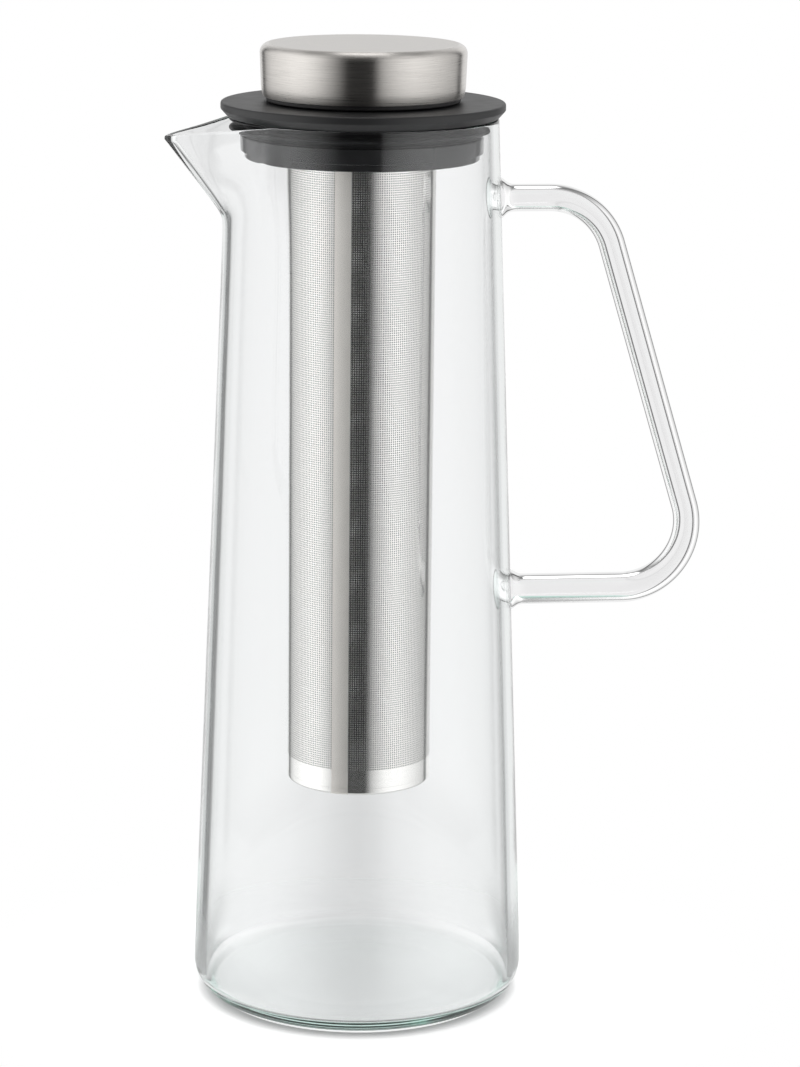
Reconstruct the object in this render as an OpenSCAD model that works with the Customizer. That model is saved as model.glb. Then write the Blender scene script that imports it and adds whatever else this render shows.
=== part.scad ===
// Fruit infuser pitcher: a tapered glass jug with a pulled spout and a bent rod handle,
// a lid collar with a wiping seal, a perforated steel infuser that hangs in the collar,
// and a steel cap whose stopper closes the infuser.
// Millimetres. +Z is up and the origin is on the table at the jug's axis.
// The handle is on +X and the spout on -X.

/* [Jug] */
// Diameter that the body's cone has at the table
base_d = 105; // [98:0.5:112]
// Diameter of the body at its rim
rim_d = 82.6; // [78:0.2:88]
// Height of the rim above the table
rim_z = 278; // [265:1:300]
// Thickness of the glass at the rim
rim_wall = 2.4; // [1.8:0.1:3]
// Thickness of the wall just above the base
base_wall = 3.8; // [2.8:0.1:5]
// Thickness of the floor
floor_t = 4.6; // [3.5:0.1:6]
// Outer radius of the rounded base corner
base_corner_r = 9; // [6:0.5:12]
// Inner radius between the wall and the floor
floor_corner_r = 4; // [3:0.5:10]
// Radius of the shallow push-up under the floor
pushup_r = 30; // [20:1:36]
// Height of the push-up under the floor
pushup_h = 0.4; // [0.3:0.1:2]

/* [Spout] */
// Distance of the spout's tip from the jug's axis
spout_reach = 61.2; // [57:0.2:66]
// Height of the tip below the rim
spout_drop = 5.5; // [5:0.5:10]
// Height below the rim where the spout's keel leaves the body
spout_root = 30; // [26:1:36]
// Half the opening angle of the spout
spout_half_angle = 38.5; // [36:0.5:39.5]
// Length that the spout's cone is cut back by, which rounds the tip
spout_nose = 8; // [4:0.5:9]
// Distance from the axis at which the lip starts to dip
spout_lip_start = 31; // [24:1:34]

/* [Handle] */
// Diameter of the glass rod
rod_d = 9; // [7:0.5:11]
// Distance of the rod's outermost point from the jug's axis
handle_reach = 108; // [98:1:120]
// Height of the upper arm's centre line below the rim
handle_drop = 25; // [22:0.5:34]
// Height between the centre lines of the two arms
handle_h = 124; // [105:1:135]
// Lean of the grip from the vertical
handle_lean = 16.8; // [10:0.2:20]
// Centre line radius of the two bends
bend_r = 20.6; // [16:0.2:24]
// Swell of the rod in its bends
bend_swell = 0.1; // [0.06:0.02:0.4]
// Radius of the flared weld where an arm meets the body
weld_r = 5.9; // [5.6:0.1:7]
// Length of the flared weld outside the body
weld_l = 3.4; // [2:0.2:5]

/* [Lid collar] */
// Overhang of the flange past the rim
flange_overhang = 2.1; // [1:0.1:4]
// Thickness of the flange above its seat
flange_t = 4.4; // [3.5:0.1:6]
// Height of the flange's upright edge
flange_edge_h = 2.1; // [1.4:0.1:3]
// Height of the groove that holds the seal
groove_h = 5.7; // [5:0.1:7]
// Depth of the groove behind the plug's face
groove_depth = 2.6; // [1.6:0.1:3.4]
// Gap between the plug and the neck
plug_gap = 2.1; // [1:0.1:3]
// Height of the plug's wide band
plug_h = 4.8; // [3:0.2:8]
// Height of the plug's lower step
step_h = 2.1; // [1:0.1:4]
// Inset of the lower step
step_inset = 1.15; // [0.6:0.05:2]
// Moulded wall thickness
lid_wall = 2.2; // [1.6:0.1:2.6]

/* [Lid seal] */
// Thickness of the seal's ring behind its lips
seal_body_t = 1.6; // [1:0.1:2]
// Thickness of a lip at its root
lip_root_h = 1.7; // [1.2:0.1:2]
// Thickness of a lip at its tip
lip_tip_h = 0.9; // [0.5:0.1:1.1]

/* [Infuser] */
// Outer diameter of the perforated sleeve
sleeve_d = 45; // [41:0.5:47]
// Thickness of the steel sheet
sheet_t = 0.4; // [0.3:0.05:0.6]
// Depth of the infuser below the jug's rim
infuser_depth = 208.6; // [160:1:230]
// Height of the pressed base's rounded edge
base_edge_h = 2.2; // [1.6:0.1:4]
// Height of the plain band between the base and the first row of holes
plain_band = 5.8; // [3:0.2:12]
// Diameter of a hole
hole_d = 2.4; // [1.6:0.1:3.2]
// Columns of holes that fit round the sleeve
hole_columns = 18; // [14:1:20]
// Rows of holes
hole_rows = 20; // [12:1:22]
// Columns left blank along the seam
seam_columns = 1; // [1:1:3]
// Angle of the seam, from +X
seam_angle = 250; // [0:1:359]
// Overhang of the rim that hangs in the collar
hang_overhang = 4; // [2.5:0.1:5]
// Thickness of the rim that hangs in the collar
hang_t = 1.2; // [0.8:0.1:2]
// Length of the rim's spigot inside the sleeve
spigot_h = 9; // [6:0.5:10]

/* [Cap] */
// Diameter of the steel cap
cap_d = 63.2; // [60:0.2:68]
// Height of the steel cap
cap_h = 15.9; // [12:0.1:20]
// Shadow gap between the cap's edge and the flange
cap_gap = 1.7; // [1.2:0.1:2.4]
// Radius of the cap's top edge
cap_edge_r = 2.8; // [2:0.1:4]
// Thickness of the cap's sheet
cap_sheet = 0.6; // [0.4:0.1:1]
// Draft of the cap's side
cap_draft = 0.5; // [0.2:0.1:1]
// Depth of the stopper below the flange's top
stopper_depth = 10.5; // [9:0.5:14]
// Diameter of the stopper ring's cord
oring_d = 2; // [1.6:0.1:2.4]

/* [Clearances] */
// Gap between pieces that move past each other
run_gap = 0.3; // [0.2:0.05:0.4]
// Gap round the sleeve in the collar's throat
throat_gap = 0.5; // [0.4:0.1:0.8]

/* [Hidden] */
$fn = 96;
// Overrun of a cut past the face that it opens
over = 1;
// Steps of a small rounded edge
arc_steps = 6;

// Jug
base_r = base_d / 2;
rim_r = rim_d / 2;
nose_r = rim_wall / 2;
nose_z = rim_z - nose_r;
function outer_r(z) = base_r + (rim_r - base_r) * z / rim_z;
function inner_r(z) = base_r - base_wall + (rim_r - rim_wall - base_r + base_wall) * z / rim_z;
outer_taper = atan((base_r - rim_r) / rim_z);
inner_taper = atan((inner_r(0) - inner_r(rim_z)) / rim_z);
function tan_plus_sec(a) = tan(a) + 1 / cos(a);
base_corner = [base_r - base_corner_r * tan_plus_sec(outer_taper), base_corner_r];
floor_corner = [inner_r(floor_t) - floor_corner_r * tan_plus_sec(inner_taper), floor_t + floor_corner_r];
pushup_ball_r = (pushup_r * pushup_r + pushup_h * pushup_h) / (2 * pushup_h);

// Spout
spout_root_z = rim_z - spout_root;
spout_tip_z = rim_z - spout_drop;
keel_angle = atan2(spout_root - spout_drop, spout_reach - outer_r(spout_root_z));
spout_dip = keel_angle - spout_half_angle;
spout_apex = [spout_reach + spout_nose * cos(keel_angle), spout_tip_z + spout_nose * sin(keel_angle)];
spout_lip_angle = atan2(spout_drop, spout_reach - spout_lip_start);
spout_inner_shift = rim_wall / sin(spout_half_angle);
spout_outer_l = (spout_apex[0] - spout_lip_start) / cos(spout_dip);
spout_inner_l = spout_outer_l - rim_wall - spout_inner_shift;

// Handle
rod_r = rod_d / 2;
arm_top_z = rim_z - handle_drop;
arm_low_z = arm_top_z - handle_h;
corner_low_x = handle_reach - rod_r - bend_r + bend_r * tan_plus_sec(handle_lean);
corner_top_x = corner_low_x - handle_h * tan(handle_lean);
turn_top = 90 - handle_lean;
turn_low = 90 + handle_lean;
bend_top_x = corner_top_x - bend_r * tan(turn_top / 2);
bend_low_x = corner_low_x - bend_r * tan(turn_low / 2);
grip_l = handle_h / cos(handle_lean) - bend_r * (tan(turn_top / 2) + tan(turn_low / 2));
bend_end = [bend_top_x + bend_r * sin(turn_top), arm_top_z - bend_r * (1 - cos(turn_top))];

// Lid collar
seat_z = rim_z + run_gap;
flange_top_z = seat_z + flange_t;
flange_r = rim_r + flange_overhang;
flange_edge_r = flange_edge_h / 3;
plug_top_z = seat_z - groove_h;
plug_low_z = plug_top_z - plug_h;
lid_low_z = plug_low_z - step_h;
neck_r = inner_r(nose_z);
plug_r = neck_r - plug_gap;
step_r = plug_r - step_inset;
groove_r = plug_r - groove_depth;

// Lid seal
lip_r = neck_r - run_gap;
lip_rise = lip_tip_h;
seal_body_r = groove_r + seal_body_t;
lip_pitch = groove_h / 2;

// Infuser
sleeve_r = sleeve_d / 2;
sleeve_in_r = sleeve_r - sheet_t;
infuser_low_z = rim_z - infuser_depth;
base_top_z = infuser_low_z + base_edge_h;
base_edge_r = base_edge_h - sheet_t;
hang_r = sleeve_r + hang_overhang;
pocket_r = hang_r + run_gap;
pocket_z = flange_top_z - hang_t - run_gap;
hang_z = pocket_z + run_gap;
throat_r = sleeve_r + throat_gap;
spigot_t = 2 * sheet_t;
spigot_in_r = sleeve_in_r - spigot_t;
core_in_r = throat_r + lid_wall;
core_out_r = groove_r - lid_wall;
core_top_z = pocket_z - lid_wall;
holes_low_z = base_top_z + plain_band + hole_d / 2;
holes_top_z = lid_low_z;
hole_pitch_z = (holes_top_z - holes_low_z) / (hole_rows - 1);
hole_pitch_a = 360 / hole_columns;

// Cap
cap_r = cap_d / 2;
cap_low_z = flange_top_z + cap_gap;
cap_top_z = cap_low_z + cap_h;
cap_side_r = cap_r - cap_draft;
cap_curl_h = cap_h / 8;
cap_mouth_r = cap_side_r - cap_sheet;
liner_z = flange_top_z + run_gap;
liner_neck_r = cap_mouth_r - cap_sheet - run_gap;
liner_disc_t = lid_wall + cap_gap - run_gap;
liner_wall_r = cap_side_r - cap_sheet - run_gap / 2;
liner_wall_z = cap_low_z + cap_curl_h + run_gap;
liner_wall_top_z = liner_wall_z + cap_h / 3;
stopper_r = spigot_in_r - 2 * run_gap;
stopper_low_z = flange_top_z - stopper_depth;
oring_r = oring_d / 2;
oring_at_r = spigot_in_r - run_gap / 2 - oring_r;
oring_z = (stopper_low_z + hang_z) / 2;

// Points along an arc, from one angle to another
function arc(centre, r, from, to) =
  [for (i = [0 : arc_steps]) let (a = from + (to - from) * i / arc_steps) centre + r * [cos(a), sin(a)]];

// A cone that opens from an apex on the spout side towards the jug's axis, dipping as it goes
module spout_cone(shift, length) {
  translate([-spout_apex[0], 0, spout_apex[1]])
    rotate([0, 90 + spout_dip, 0])
      translate([0, 0, shift])
        cylinder(h = length, r1 = 0, r2 = length * tan(spout_half_angle));
}

// Half section of the jug's outside, filled to the axis
module jug_outside() {
  tangent = base_corner + base_corner_r * [cos(outer_taper), sin(outer_taper)];
  nose_x = outer_r(nose_z) - nose_r;
  polygon([[0, 0], [base_corner[0], 0], base_corner, tangent, [outer_r(nose_z), nose_z],
           [nose_x, nose_z], [nose_x, rim_z], [0, rim_z]]);
  translate(base_corner) circle(r = base_corner_r);
  translate([nose_x, nose_z]) circle(r = nose_r);
}

// Half section of the jug's hollow, which opens round the rim's nose
module jug_hollow() {
  tangent = floor_corner + floor_corner_r * [cos(inner_taper), sin(inner_taper)];
  nose_x = outer_r(nose_z) - nose_r;
  polygon([[0, floor_t], [floor_corner[0], floor_t], floor_corner, tangent,
           [nose_x - nose_r, nose_z], [0, nose_z]]);
  translate(floor_corner) circle(r = floor_corner_r);
  difference() {
    translate([0, nose_z]) square([nose_x, nose_r + over]);
    translate([nose_x, nose_z]) circle(r = nose_r);
  }
}

// Everything above the rim and above the dipping lip
module above_lip() {
  span = 2 * spout_reach;
  translate([-span / 2, -span / 2, rim_z]) cube([span, span, span]);
  translate([-spout_lip_start, 0, rim_z])
    rotate([0, -spout_lip_angle, 0])
      translate([-span / 2, -span / 2, 0]) cube([span, span, span]);
}

module glass_jug() color([0.86, 0.93, 0.92, 0.35]) {
  difference() {
    union() {
      rotate_extrude() jug_outside();
      difference() {
        spout_cone(0, spout_outer_l);
        above_lip();
      }
    }
    rotate_extrude() jug_hollow();
    difference() {
      spout_cone(spout_inner_shift, spout_inner_l);
      translate([0, 0, rim_z + over]) cylinder(r = spout_reach, h = spout_reach);
    }
    translate([0, 0, pushup_h - pushup_ball_r]) sphere(r = pushup_ball_r);
  }
}

// A straight arm from the jug's axis out to a bend, flared where it is welded to the body
module handle_arm(z, length) {
  translate([0, 0, z]) rotate([0, 90, 0]) rotate_extrude()
    polygon([[0, 0], [weld_r, 0], [weld_r, outer_r(z)], [rod_r, outer_r(z) + weld_l],
             [rod_r, length], [0, length]]);
}

// A bend of the rod in the XZ plane, turning clockwise from the upward direction
module handle_bend(x, z, from, turn) {
  translate([x, 0, z]) rotate([90, 0, 0]) rotate([0, 0, from - turn])
    rotate_extrude(angle = turn) translate([bend_r, 0]) circle(r = rod_r + bend_swell);
}

module glass_handle() color([0.86, 0.93, 0.92, 0.35]) {
  difference() {
    union() {
      handle_arm(arm_top_z, bend_top_x + over);
      handle_arm(arm_low_z, bend_low_x + over);
      handle_bend(bend_top_x, arm_top_z - bend_r, 90, turn_top);
      handle_bend(bend_low_x, arm_low_z + bend_r, handle_lean, turn_low);
      translate([bend_end[0], 0, bend_end[1]]) rotate([0, 180 - handle_lean, 0])
        translate([0, 0, -over]) cylinder(r = rod_r, h = grip_l + 2 * over);
    }
    cylinder(r1 = base_r, r2 = rim_r, h = rim_z);
  }
}

module lid_collar() color([0.09, 0.09, 0.1]) {
  edge = [flange_r - flange_edge_r, flange_top_z - flange_edge_r];
  rotate_extrude()
    polygon(concat([[pocket_r, flange_top_z]], arc(edge, flange_edge_r, 90, 0),
            [[flange_r, flange_top_z - flange_edge_h], [rim_r, seat_z], [groove_r, seat_z],
             [groove_r, plug_top_z], [plug_r, plug_top_z], [plug_r, plug_low_z],
             [step_r, plug_low_z], [step_r, lid_low_z], [core_out_r, lid_low_z],
             [core_out_r, core_top_z], [core_in_r, core_top_z], [core_in_r, lid_low_z],
             [throat_r, lid_low_z], [throat_r, pocket_z], [pocket_r, pocket_z]]));
}

// The outline of one wiping lip, from its lower root to its upper root
function lip(z) = [[seal_body_r, z - lip_root_h / 2], [lip_r, z + lip_rise - lip_tip_h / 2],
                   [lip_r, z + lip_rise + lip_tip_h / 2], [seal_body_r, z + lip_root_h / 2]];

module lid_seal() color([0.12, 0.12, 0.13]) {
  middle = (plug_top_z + seat_z) / 2;
  rotate_extrude()
    polygon(concat([[groove_r, plug_top_z], [seal_body_r, plug_top_z]],
                   lip(middle - lip_pitch / 2), lip(middle + lip_pitch / 2),
                   [[seal_body_r, seat_z], [groove_r, seat_z]]));
}

module infuser_rim() color([0.78, 0.77, 0.75]) {
  rotate_extrude()
    polygon([[spigot_in_r, hang_z - spigot_h], [sleeve_in_r, hang_z - spigot_h], [sleeve_in_r, hang_z],
             [hang_r, hang_z], [hang_r, hang_z + hang_t], [spigot_in_r, hang_z + hang_t]]);
}

module infuser_sleeve() color([0.8, 0.79, 0.77]) {
  difference() {
    rotate_extrude() translate([sleeve_in_r, base_top_z]) square([sheet_t, hang_z - base_top_z]);
    for (column = [seam_columns : hole_columns - 1], row = [0 : hole_rows - 1])
      rotate([0, 0, seam_angle + (column - (seam_columns - 1) / 2) * hole_pitch_a])
        translate([sleeve_in_r - over, 0, holes_low_z + row * hole_pitch_z])
          rotate([0, 90, 0]) cylinder(d = hole_d, h = sheet_t + 2 * over);
  }
}

module infuser_base() color([0.78, 0.77, 0.75]) {
  edge = [sleeve_r - base_edge_r, infuser_low_z + base_edge_r];
  rotate_extrude()
    polygon(concat([[0, infuser_low_z]], arc(edge, base_edge_r, 270, 360),
            [[sleeve_r, base_top_z], [sleeve_in_r, base_top_z], [sleeve_in_r, base_top_z + base_edge_h],
             [spigot_in_r, base_top_z + base_edge_h]],
            arc(edge, base_edge_r - spigot_t, 360, 270), [[0, infuser_low_z + spigot_t]]));
}

// Half section of the cap's outside, or of its inside when it is drawn in by one sheet
module cap_section(inset) {
  edge_r = cap_edge_r - inset;
  edge = [cap_r - cap_edge_r, cap_top_z - cap_edge_r];
  polygon([[0, cap_low_z - (inset > 0 ? over : 0)],
           [cap_mouth_r - inset, cap_low_z - (inset > 0 ? over : 0)],
           [cap_mouth_r - inset, cap_low_z],
           [cap_side_r - inset, cap_low_z + cap_curl_h], [cap_r - inset, edge[1]], edge,
           [edge[0], cap_top_z - inset], [0, cap_top_z - inset]]);
  translate(edge) circle(r = edge_r);
}

module cap_shell() color([0.72, 0.71, 0.69]) {
  rotate_extrude() difference() {
    cap_section(0);
    cap_section(cap_sheet);
  }
}

module cap_liner() color([0.07, 0.07, 0.08]) {
  disc_top_z = liner_z + liner_disc_t;
  well_r = stopper_r - lid_wall;
  difference() {
    rotate_extrude()
      polygon([[0, stopper_low_z], [stopper_r, stopper_low_z], [stopper_r, liner_z], [liner_neck_r, liner_z],
               [liner_neck_r, liner_wall_z], [liner_wall_r, liner_wall_z], [liner_wall_r, liner_wall_top_z],
               [liner_neck_r - lid_wall, liner_wall_top_z], [liner_neck_r - lid_wall, disc_top_z],
               [well_r, disc_top_z], [well_r, stopper_low_z + lid_wall], [0, stopper_low_z + lid_wall]]);
    rotate_extrude() translate([oring_at_r, oring_z]) circle(r = oring_r);
  }
}

module cap_seal() color([0.16, 0.16, 0.17]) {
  rotate_extrude() translate([oring_at_r, oring_z]) circle(r = oring_r);
}

glass_jug();
glass_handle();
lid_collar();
lid_seal();
infuser_rim();
infuser_sleeve();
infuser_base();
cap_shell();
cap_liner();
cap_seal();
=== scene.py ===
import math

import bpy
import numpy as np
from mathutils import Matrix, Vector


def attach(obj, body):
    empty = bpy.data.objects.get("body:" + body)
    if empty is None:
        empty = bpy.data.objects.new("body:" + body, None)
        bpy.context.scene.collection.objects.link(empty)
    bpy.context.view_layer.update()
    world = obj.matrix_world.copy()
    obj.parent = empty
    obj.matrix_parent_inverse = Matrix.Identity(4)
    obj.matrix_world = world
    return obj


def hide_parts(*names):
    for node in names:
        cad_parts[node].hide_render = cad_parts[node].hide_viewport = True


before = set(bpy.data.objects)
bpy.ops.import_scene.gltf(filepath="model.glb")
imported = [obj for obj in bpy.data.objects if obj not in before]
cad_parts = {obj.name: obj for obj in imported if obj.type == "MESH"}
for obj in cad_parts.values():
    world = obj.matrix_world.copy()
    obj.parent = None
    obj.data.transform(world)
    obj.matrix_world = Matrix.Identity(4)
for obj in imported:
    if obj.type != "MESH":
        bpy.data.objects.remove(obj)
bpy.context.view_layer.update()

mm = 0.001


def putMesh(name, points, quads, triangles=()):
    # points in metres go into a new smooth-shaded mesh object that sits at the origin
    quads = np.asarray(quads, dtype=np.int32).reshape(-1, 4)
    triangles = np.asarray(triangles, dtype=np.int32).reshape(-1, 3)
    mesh = bpy.data.meshes.new(name)
    mesh.vertices.add(len(points))
    mesh.vertices.foreach_set("co", np.asarray(points, dtype=np.float32).ravel())
    corners = np.concatenate([quads.ravel(), triangles.ravel()])
    sizes = np.concatenate([np.full(len(quads), 4), np.full(len(triangles), 3)]).astype(np.int32)
    starts = np.concatenate([[0], np.cumsum(sizes)[:-1]]).astype(np.int32)
    mesh.loops.add(len(corners))
    mesh.loops.foreach_set("vertex_index", corners.astype(np.int32))
    mesh.polygons.add(len(sizes))
    mesh.polygons.foreach_set("loop_start", starts)
    mesh.polygons.foreach_set("loop_total", sizes)
    mesh.update(calc_edges=True)
    mesh.validate()
    mesh.polygons.foreach_set("use_smooth", np.ones(len(sizes), dtype=bool))
    piece = bpy.data.objects.new(name, mesh)
    bpy.context.scene.collection.objects.link(piece)
    return piece


def gridQuads(rows, columns, loopRows=False):
    # quads between neighbouring rows and columns of a grid whose points are numbered row by row; the
    # columns close into a ring, and so do the rows where loopRows is set
    i, j = np.meshgrid(np.arange(rows if loopRows else rows - 1), np.arange(columns), indexing="ij")
    k, m = (i + 1) % rows, (j + 1) % columns
    quads = np.stack([i * columns + j, i * columns + m, k * columns + m, k * columns + j], axis=-1)
    return quads.reshape(-1, 4)


def poleTriangles(rows, columns):
    # fans that close a grid's first and last row onto two poles, numbered after the grid's own points
    here, there = np.arange(columns), (np.arange(columns) + 1) % columns
    last, pole = (rows - 1) * columns, rows * columns
    return np.concatenate([np.stack([there, here, np.full(columns, pole)], axis=1),
                           np.stack([last + here, last + there, np.full(columns, pole + 1)], axis=1)])


def roundedSection(corners, spacing=6.0, steps=8, shortest=0.8, nearEnd=0.25):
    # closed outline from corners (r, z, rounding): each corner becomes an arc tangent to both sides,
    # and each straight stretch gets points close to its ends and evenly between them
    corners = np.asarray(corners, dtype=float)
    place, rounding = corners[:, :2], corners[:, 2]
    before, after = np.roll(place, 1, axis=0) - place, np.roll(place, -1, axis=0) - place
    before /= np.linalg.norm(before, axis=1, keepdims=True)
    after /= np.linalg.norm(after, axis=1, keepdims=True)
    half = 0.5 * np.arccos(np.clip((before * after).sum(axis=1), -1, 1))
    cut = rounding / np.tan(half)
    share = np.linspace(0, 1, steps + 1)
    outline = []
    for c in range(len(corners)):
        if rounding[c] <= 0:
            arc = place[c][None]
        else:
            middle = (before[c] + after[c]) / np.linalg.norm(before[c] + after[c])
            centre = place[c] + middle * rounding[c] / math.sin(half[c])
            a, b = place[c] + before[c] * cut[c] - centre, place[c] + after[c] * cut[c] - centre
            turn = math.atan2(a[0] * b[1] - a[1] * b[0], a @ b)
            angle = math.atan2(a[1], a[0]) + share * turn
            arc = centre + rounding[c] * np.stack([np.cos(angle), np.sin(angle)], axis=1)
        outline.append(arc)
        following = (c + 1) % len(corners)
        stop = place[following] + before[following] * cut[following]
        length = np.linalg.norm(stop - arc[-1])
        if length > shortest:
            inner = np.linspace(0, 1, max(2, int(length / spacing) + 2))[1:-1]
            ends = min(nearEnd, 0.2 * length) / length
            inner = inner[(inner > 2 * ends) & (inner < 1 - 2 * ends)]
            along = np.concatenate([[ends], inner, [1 - ends]])
            outline.append(arc[-1] + (stop - arc[-1]) * along[:, None])
    return np.concatenate(outline)


def turned(name, section, turns=192):
    # the section (r, z) in millimetres goes once round the Z axis; points on the axis become poles
    angle = np.linspace(0, 2 * math.pi, turns, endpoint=False)
    section = np.asarray(section, dtype=float)
    onAxis = section[:, 0] < 1e-6
    count = int((~onAxis).sum())
    if onAxis.any():
        section = np.roll(section, -int(np.flatnonzero(~onAxis & np.roll(onAxis, 1))[0]), axis=0)
    ring = section[:count]
    points = np.stack([ring[:, :1] * np.cos(angle), ring[:, :1] * np.sin(angle),
                       np.repeat(ring[:, 1:], turns, axis=1)], axis=-1).reshape(-1, 3)
    quads, triangles = gridQuads(count, turns, loopRows=not onAxis.any()), []
    if onAxis.any():
        points = np.concatenate([points, [[0, 0, section[-1, 1]], [0, 0, section[count, 1]]]])
        triangles = poleTriangles(count, turns)
    return putMesh(name, points * mm, quads, triangles)


def softMax(a, b, blend):
    # the larger of two lengths, with a fillet about as wide as blend where they cross
    return 0.5 * (a + b + np.sqrt((a - b) ** 2 + blend ** 2))


def softStep(share):
    # rises from 0 to 1 with a soft start and a soft end
    share = np.clip(share, 0, 1)
    return share * share * (3 - 2 * share)


def findNode(tree, kind):
    return next(n for n in tree.nodes if n.type == kind)


def newMaterial(name):
    material = bpy.data.materials.new(name)
    material.use_nodes = True
    tree = material.node_tree
    return material, tree, findNode(tree, "BSDF_PRINCIPLED")


def addNode(tree, kind, **values):
    # a value goes to the node's property of that name, or else to its input of that name
    node = tree.nodes.new(kind)
    for key, value in values.items():
        if hasattr(node, key):
            setattr(node, key, value)
        else:
            node.inputs[key.replace("_", " ")].default_value = value
    return node


def mathNode(tree, operation, a, b=None):
    node = tree.nodes.new("ShaderNodeMath")
    node.operation = operation
    for socket, value in zip(node.inputs, (a, b)):
        if value is None:
            continue
        if isinstance(value, (int, float)):
            socket.default_value = value
        else:
            tree.links.new(value, socket)
    return node.outputs[0]


def lengthNode(tree, a, b):
    # the root of a squared plus b squared
    return mathNode(tree, "SQRT", mathNode(tree, "ADD", mathNode(tree, "MULTIPLY", a, a),
                                           mathNode(tree, "MULTIPLY", b, b)))


def softRange(tree, value, start, end, low=0.0, high=1.0):
    # goes softly from low to high while value goes from start to end
    node = addNode(tree, "ShaderNodeMapRange", interpolation_type="SMOOTHSTEP",
                   From_Min=start, From_Max=end, To_Min=low, To_Max=high)
    tree.links.new(value, node.inputs["Value"])
    return node.outputs[0]


def splitPlace(tree, coordinates="Object"):
    # the coordinates as a vector, and then x, y and z
    place = tree.nodes.new("ShaderNodeTexCoord").outputs[coordinates]
    split = tree.nodes.new("ShaderNodeSeparateXYZ")
    tree.links.new(place, split.inputs[0])
    return place, *split.outputs


def turnedAxes(tree, x, y, angle):
    # how far a place lies along the direction of the angle, and to the left of that direction
    c, s = math.cos(angle), math.sin(angle)
    along = mathNode(tree, "ADD", mathNode(tree, "MULTIPLY", x, c), mathNode(tree, "MULTIPLY", y, s))
    left = mathNode(tree, "SUBTRACT", mathNode(tree, "MULTIPLY", y, c), mathNode(tree, "MULTIPLY", x, s))
    return along, left


def newGroup(name, inputs, outputs):
    group = bpy.data.node_groups.new(name, "ShaderNodeTree")
    for label, value in inputs:
        socket = group.interface.new_socket(label, in_out="INPUT", socket_type="NodeSocketFloat")
        socket.default_value = value
    for label in outputs:
        group.interface.new_socket(label, in_out="OUTPUT", socket_type="NodeSocketFloat")
    return group, group.nodes.new("NodeGroupInput"), group.nodes.new("NodeGroupOutput")


def placeGroup(tree, group, **values):
    node = tree.nodes.new("ShaderNodeGroup")
    node.node_tree = group
    for label, value in values.items():
        node.inputs[label].default_value = value
    return node


def makeGrain(patches=0.06):
    # fine moulded or beaten surface: noise at one scale for the height, and at a coarser one, patches
    # times as fine, for the roughness
    group, inside, outside = newGroup("fineGrain", [("Scale", 900.0), ("Middle", 0.4), ("Spread", 0.1)],
                                      ["Roughness", "Height"])
    where = group.nodes.new("ShaderNodeTexCoord")
    fine = addNode(group, "ShaderNodeTexNoise", Detail=2.0)
    coarse = addNode(group, "ShaderNodeTexNoise", Detail=3.0)
    for noise in (fine, coarse):
        group.links.new(where.outputs["Object"], noise.inputs["Vector"])
    group.links.new(inside.outputs["Scale"], fine.inputs["Scale"])
    group.links.new(mathNode(group, "MULTIPLY", inside.outputs["Scale"], patches), coarse.inputs["Scale"])
    swing = mathNode(group, "MULTIPLY", mathNode(group, "SUBTRACT", coarse.outputs[0], 0.5),
                     inside.outputs["Spread"])
    group.links.new(mathNode(group, "ADD", inside.outputs["Middle"], swing), outside.inputs["Roughness"])
    group.links.new(fine.outputs[0], outside.inputs["Height"])
    return group


def makeBrush():
    # brushed lines that run round the Z axis: noise that is fine over height and radius and slow along
    # the turn
    group, inside, outside = newGroup("roundBrush", [("Lines", 9000.0), ("Length", 120.0), ("Middle", 0.3),
                                                     ("Spread", 0.2), ("Streak", 0.2)],
                                      ["Roughness", "Height", "Tone"])
    _, x, y, z = splitPlace(group)
    across = mathNode(group, "ADD", z, lengthNode(group, x, y))
    joined = group.nodes.new("ShaderNodeCombineXYZ")
    for socket, value, scale in zip(joined.inputs, (x, y, across), ("Length", "Length", "Lines")):
        group.links.new(mathNode(group, "MULTIPLY", value, inside.outputs[scale]), socket)
    lines = addNode(group, "ShaderNodeTexNoise", Scale=1.0, Detail=3.0, Roughness=0.6)
    group.links.new(joined.outputs[0], lines.inputs["Vector"])
    swing = mathNode(group, "SUBTRACT", lines.outputs[0], 0.5)
    spread = mathNode(group, "MULTIPLY", swing, inside.outputs["Spread"])
    streak = mathNode(group, "MULTIPLY", swing, inside.outputs["Streak"])
    group.links.new(mathNode(group, "ADD", inside.outputs["Middle"], spread), outside.inputs["Roughness"])
    group.links.new(lines.outputs[0], outside.inputs["Height"])
    group.links.new(mathNode(group, "ADD", 1.0, streak), outside.inputs["Tone"])
    return group


grain, brush = makeGrain(), makeBrush()
bumpDepth = dict(grain=0.00005, brush=0.00003, ripple=0.0006)  # in metres


def bumpFrom(tree, shader, height, strength, distance):
    bump = addNode(tree, "ShaderNodeBump", Strength=strength, Distance=distance)
    tree.links.new(height, bump.inputs["Height"])
    tree.links.new(bump.outputs[0], shader.inputs["Normal"])


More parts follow.
